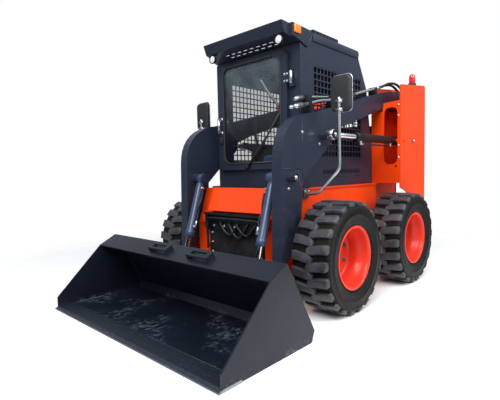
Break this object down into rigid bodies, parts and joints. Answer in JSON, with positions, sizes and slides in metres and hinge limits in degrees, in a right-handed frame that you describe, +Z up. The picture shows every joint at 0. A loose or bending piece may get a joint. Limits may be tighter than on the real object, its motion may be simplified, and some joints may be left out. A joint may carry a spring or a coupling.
{
  "type": "skid steer loader",
  "caption": "Compact wheeled loader with a closed cab, lift arms pivoted on rear uprights, a tilting general-purpose bucket and opening cab and engine doors.",
  "frame": {"origin": "centre of the footprint, on the ground under the tyres", "axes": "+Z up, +Y towards the rear, +X to the machine's own left; the bucket faces -Y"},
  "size_m": [1.863, 3.102, 2.13],
  "materials": {
    "orange_paint": "satin orange enamel over pressed and welded steel plate",
    "navy_paint": "semi-gloss dark blue-grey enamel",
    "black_paint": "satin black enamel",
    "blue_grey_paint": "satin blue-grey enamel on the cylinder tubes",
    "rim_paint": "gloss red-orange enamel",
    "tyre_rubber": "dark industrial tyre rubber with a dusty bloom",
    "chromed_rod": "ground and chromed rod",
    "worn_steel": "wear plate scuffed to bare steel",
    "engine_iron": "cast block",
    "zinc_pipe": "zinc-plated hydraulic pipe",
    "door_glass": "clear safety glass",
    "seat_cloth": "woven seat cloth",
    "lamp_lens": "clear moulded lens",
    "red_lens": "red moulded lens",
    "cab_plastic": "grained dark moulding"
  },
  "bodies": {
    "chassis": {"main_frame": "orange_paint", "front_panel": "orange_paint", "front_step": "black_paint", "upright_left": "orange_paint", "upright_right": "orange_paint", "engine_hood": "black_paint", "engine_block": "engine_iron", "rear_bumper": "black_paint", "tail_lamp_left": "red_lens", "tail_lamp_right": "red_lens", "beacon": "red_lens", "cab_side_left": "navy_paint", "side_guard_left": "navy_paint", "cab_side_right": "navy_paint", "side_guard_right": "navy_paint", "cab_front_frame": "navy_paint", "cab_visor": "navy_paint", "cab_roof": "navy_paint", "roof_vent": "black_paint", "cab_rear": "navy_paint", "rear_guard": "navy_paint", "cab_floor": "cab_plastic", "seat": "seat_cloth", "control_lever_left": "cab_plastic", "work_lamp_left": "lamp_lens", "control_lever_right": "cab_plastic", "work_lamp_right": "lamp_lens", "mirror_left": "black_paint", "mirror_right": "black_paint"},
    "cab_door": {"cab_door": "navy_paint", "door_glass": "door_glass"},
    "engine_door": {"rear_door": "black_paint"},
    "arms": {"lift_arm_left": "navy_paint", "lift_arm_right": "navy_paint", "arm_crossbeam": "navy_paint", "aux_pipes": "zinc_pipe"},
    "tool": {"quick_hitch": "black_paint", "bucket": "navy_paint", "cutting_edge": "worn_steel"},
    "lift_barrel_left": {"lift_barrel_left": "black_paint"},
    "lift_rod_left": {"lift_rod_left": "chromed_rod"},
    "tilt_barrel_left": {"tilt_barrel_left": "blue_grey_paint"},
    "tilt_rod_left": {"tilt_rod_left": "chromed_rod"},
    "wheel_front_left": {"tyre_front_left": "tyre_rubber", "rim_front_left": "rim_paint"},
    "wheel_rear_left": {"tyre_rear_left": "tyre_rubber", "rim_rear_left": "rim_paint"},
    "lift_barrel_right": {"lift_barrel_right": "black_paint"},
    "lift_rod_right": {"lift_rod_right": "chromed_rod"},
    "tilt_barrel_right": {"tilt_barrel_right": "blue_grey_paint"},
    "tilt_rod_right": {"tilt_rod_right": "chromed_rod"},
    "wheel_front_right": {"tyre_front_right": "tyre_rubber", "rim_front_right": "rim_paint"},
    "wheel_rear_right": {"tyre_rear_right": "tyre_rubber", "rim_rear_right": "rim_paint"}
  },
  "joints": [
    {"name": "arm_lift", "type": "hinge", "parent": "chassis", "child": "arms", "pos_m": [0, 1.38, 1.7], "axis": [-1, 0, 0], "range_deg": [0, 66]},
    {"name": "bucket_tilt", "type": "hinge", "parent": "arms", "child": "tool", "pos_m": [0, -0.61, 0.165], "axis": [1, 0, 0], "range_deg": [-26, 106]},
    {"name": "cab_door_swing", "type": "hinge", "parent": "chassis", "child": "cab_door", "pos_m": [0.386, -0.259, 1.465], "axis": [0, 0, 1], "range_deg": [0, 84]},
    {"name": "engine_door_swing", "type": "hinge", "parent": "chassis", "child": "engine_door", "pos_m": [0.4365, 1.541, 0.965], "axis": [0, 0, -1], "range_deg": [0, 100]},
    {"name": "wheel_spin_front_left", "type": "hinge", "parent": "chassis", "child": "wheel_front_left", "pos_m": [0.754, -0.2, 0.4], "axis": [1, 0, 0], "continuous": true},
    {"name": "wheel_spin_rear_left", "type": "hinge", "parent": "chassis", "child": "wheel_rear_left", "pos_m": [0.754, 0.878, 0.4], "axis": [1, 0, 0], "continuous": true},
    {"name": "lift_barrel_swing_left", "type": "hinge", "parent": "chassis", "child": "lift_barrel_left", "pos_m": [0.6305, 1.007, 1.281], "axis": [-1, 0, 0], "range_deg": [-2, 75]},
    {"name": "lift_rod_slide_left", "type": "slide", "parent": "lift_barrel_left", "child": "lift_rod_left", "axis": [0, -1, -0.0009], "range_m": [-0.001, 0.62]},
    {"name": "tilt_barrel_swing_left", "type": "hinge", "parent": "arms", "child": "tilt_barrel_left", "pos_m": [0.395, -0.5, 0.97], "axis": [1, 0, 0], "range_deg": [-5, 5]},
    {"name": "tilt_rod_slide_left", "type": "slide", "parent": "tilt_barrel_left", "child": "tilt_rod_left", "axis": [0, -0.2983, -0.9545], "range_m": [-0.076, 0.31]},
    {"name": "wheel_spin_front_right", "type": "hinge", "parent": "chassis", "child": "wheel_front_right", "pos_m": [-0.754, -0.2, 0.4], "axis": [1, 0, 0], "continuous": true},
    {"name": "wheel_spin_rear_right", "type": "hinge", "parent": "chassis", "child": "wheel_rear_right", "pos_m": [-0.754, 0.878, 0.4], "axis": [1, 0, 0], "continuous": true},
    {"name": "lift_barrel_swing_right", "type": "hinge", "parent": "chassis", "child": "lift_barrel_right", "pos_m": [-0.6305, 1.007, 1.281], "axis": [-1, 0, 0], "range_deg": [-2, 75]},
    {"name": "lift_rod_slide_right", "type": "slide", "parent": "lift_barrel_right", "child": "lift_rod_right", "axis": [0, -1, -0.0009], "range_m": [-0.001, 0.62]},
    {"name": "tilt_barrel_swing_right", "type": "hinge", "parent": "arms", "child": "tilt_barrel_right", "pos_m": [-0.395, -0.5, 0.97], "axis": [1, 0, 0], "range_deg": [-5, 5]},
    {"name": "tilt_rod_slide_right", "type": "slide", "parent": "tilt_barrel_right", "child": "tilt_rod_right", "axis": [0, -0.2983, -0.9545], "range_m": [-0.076, 0.31]}
  ],
  "couplings": [
    {"joint": "lift_barrel_swing_left", "follows": "arm_lift", "ratio": 1.0473},
    {"joint": "lift_rod_slide_left", "follows": "arm_lift", "m_per_rad": 0.52652},
    {"joint": "tilt_barrel_swing_left", "follows": "bucket_tilt", "ratio": 0.02613},
    {"joint": "tilt_rod_slide_left", "follows": "bucket_tilt", "m_per_rad": 0.1609},
    {"joint": "lift_barrel_swing_right", "follows": "arm_lift", "ratio": 1.0473},
    {"joint": "lift_rod_slide_right", "follows": "arm_lift", "m_per_rad": 0.52652},
    {"joint": "tilt_barrel_swing_right", "follows": "bucket_tilt", "ratio": 0.02613},
    {"joint": "tilt_rod_slide_right", "follows": "bucket_tilt", "m_per_rad": 0.1609}
  ]
}
